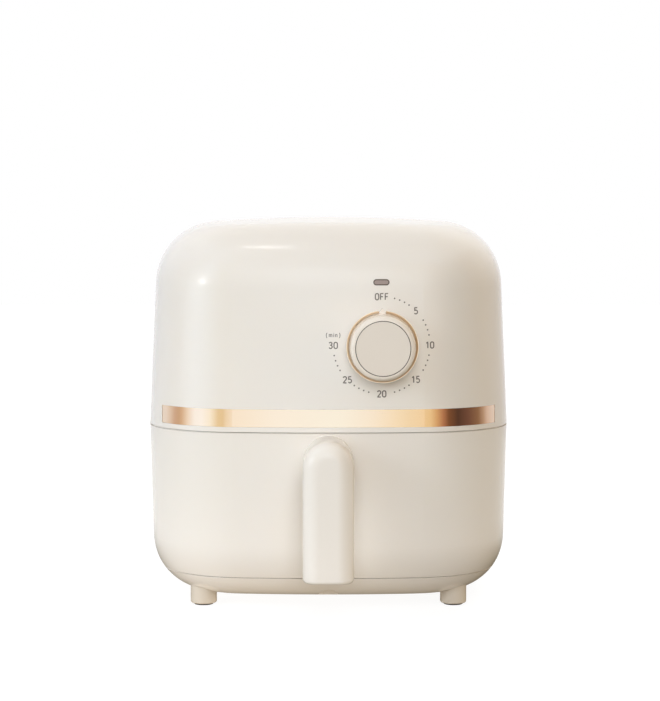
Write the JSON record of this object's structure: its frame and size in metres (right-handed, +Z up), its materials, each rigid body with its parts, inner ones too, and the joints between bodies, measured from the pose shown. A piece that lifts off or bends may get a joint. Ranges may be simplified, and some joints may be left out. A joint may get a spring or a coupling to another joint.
{
  "type": "air fryer",
  "caption": "Countertop air fryer with a pull-out drawer, a lift-out crisper plate and a timer knob; a fan blows air over a heating loop onto the food.",
  "frame": {"origin": "middle of the whole width and of the whole depth with the handle, on the surface that the foot pads stand on", "axes": "+X to the right seen from the front, -Y to the front where the handle is, +Z up"},
  "size_m": [0.245, 0.292, 0.255],
  "materials": {
    "casing_cream": "glossy moulded plastic",
    "trim_gold": "polished warm gold",
    "knob_cream": "satin moulded plastic",
    "foot_rubber": "matt dark rubber",
    "silicone": "matt silicone",
    "lamp_dark": "dark gloss",
    "lamp_window": "smoky clear plastic",
    "liner_plastic": "dark heat-proof plastic, fine texture",
    "pan_coating": "non-stick coating, satin",
    "sheet_steel": "bright rolled sheet",
    "element_steel": "heat-darkened steel tube",
    "screw_steel": "zinc plated",
    "fan_aluminium": "pressed sheet",
    "white_plastic": "natural nylon or ceramic",
    "black_plastic": "black moulded plastic",
    "lamp_glass": "clear tube with orange electrodes",
    "bell_brass": "dull brass"
  },
  "bodies": {
    "housing": {"top_housing": "casing_cream", "trim_band": "trim_gold", "lower_housing": "casing_cream", "base_plate": "casing_cream", "base_screws": "screw_steel", "feet": "casing_cream", "foot_pads": "foot_rubber", "cord_inlet": "black_plastic", "mid_frame": "liner_plastic", "frame_screws": "screw_steel", "drawer_bay": "liner_plastic", "safety_switch": "black_plastic", "terminal_block": "white_plastic", "timer_unit": "white_plastic", "timer_bell": "bell_brass", "timer_screws": "screw_steel", "lamp_bezel": "lamp_dark", "lamp_lens": "lamp_window", "neon_lamp": "lamp_glass", "heat_chamber": "sheet_steel", "chamber_gasket": "silicone", "chamber_screws": "screw_steel", "heating_element": "element_steel", "element_bushings": "white_plastic", "element_guard": "element_steel", "thermostat": "black_plastic", "thermal_fuse": "sheet_steel", "exhaust_duct": "sheet_steel", "rear_grille": "casing_cream", "motor_body": "sheet_steel", "motor_bracket": "sheet_steel", "bracket_screws": "screw_steel"},
    "drawer": {"drawer_front": "casing_cream", "drawer_inner": "liner_plastic", "drawer_pan": "pan_coating", "handle": "casing_cream", "handle_back": "casing_cream", "handle_plate": "sheet_steel", "handle_screws": "screw_steel"},
    "tray": {"crisper_plate": "pan_coating", "plate_bumpers": "silicone"},
    "knob": {"timer_knob": "knob_cream", "knob_cap": "knob_cream", "knob_ring": "trim_gold", "timer_shaft": "screw_steel"},
    "rotor": {"hot_air_fan": "fan_aluminium", "cooling_fan": "fan_aluminium", "motor_shaft": "screw_steel", "fan_nut": "screw_steel"},
    "plunger": {"switch_plunger": "white_plastic"}
  },
  "joints": [
    {"name": "drawer_slide", "type": "slide", "parent": "housing", "child": "drawer", "axis": [0, -1, 0], "range_m": [0, 0.215]},
    {"name": "tray_lift", "type": "slide", "parent": "drawer", "child": "tray", "axis": [0, 0, 1], "range_m": [0, 0.066]},
    {"name": "timer_turn", "type": "hinge", "parent": "housing", "child": "knob", "pos_m": [0.0343, -0.1024, 0.1732], "axis": [0, 1, 0], "range_deg": [0, 270]},
    {"name": "fan_spin", "type": "hinge", "parent": "housing", "child": "rotor", "pos_m": [0, 0.021, 0.18], "axis": [0, 0, 1], "continuous": true},
    {"name": "plunger_slide", "type": "slide", "parent": "housing", "child": "plunger", "axis": [0, -1, 0], "range_m": [0, 0.0022]}
  ],
  "couplings": [
    {"joint": "plunger_slide", "follows": "drawer_slide", "ratio": 0.01}
  ]
}
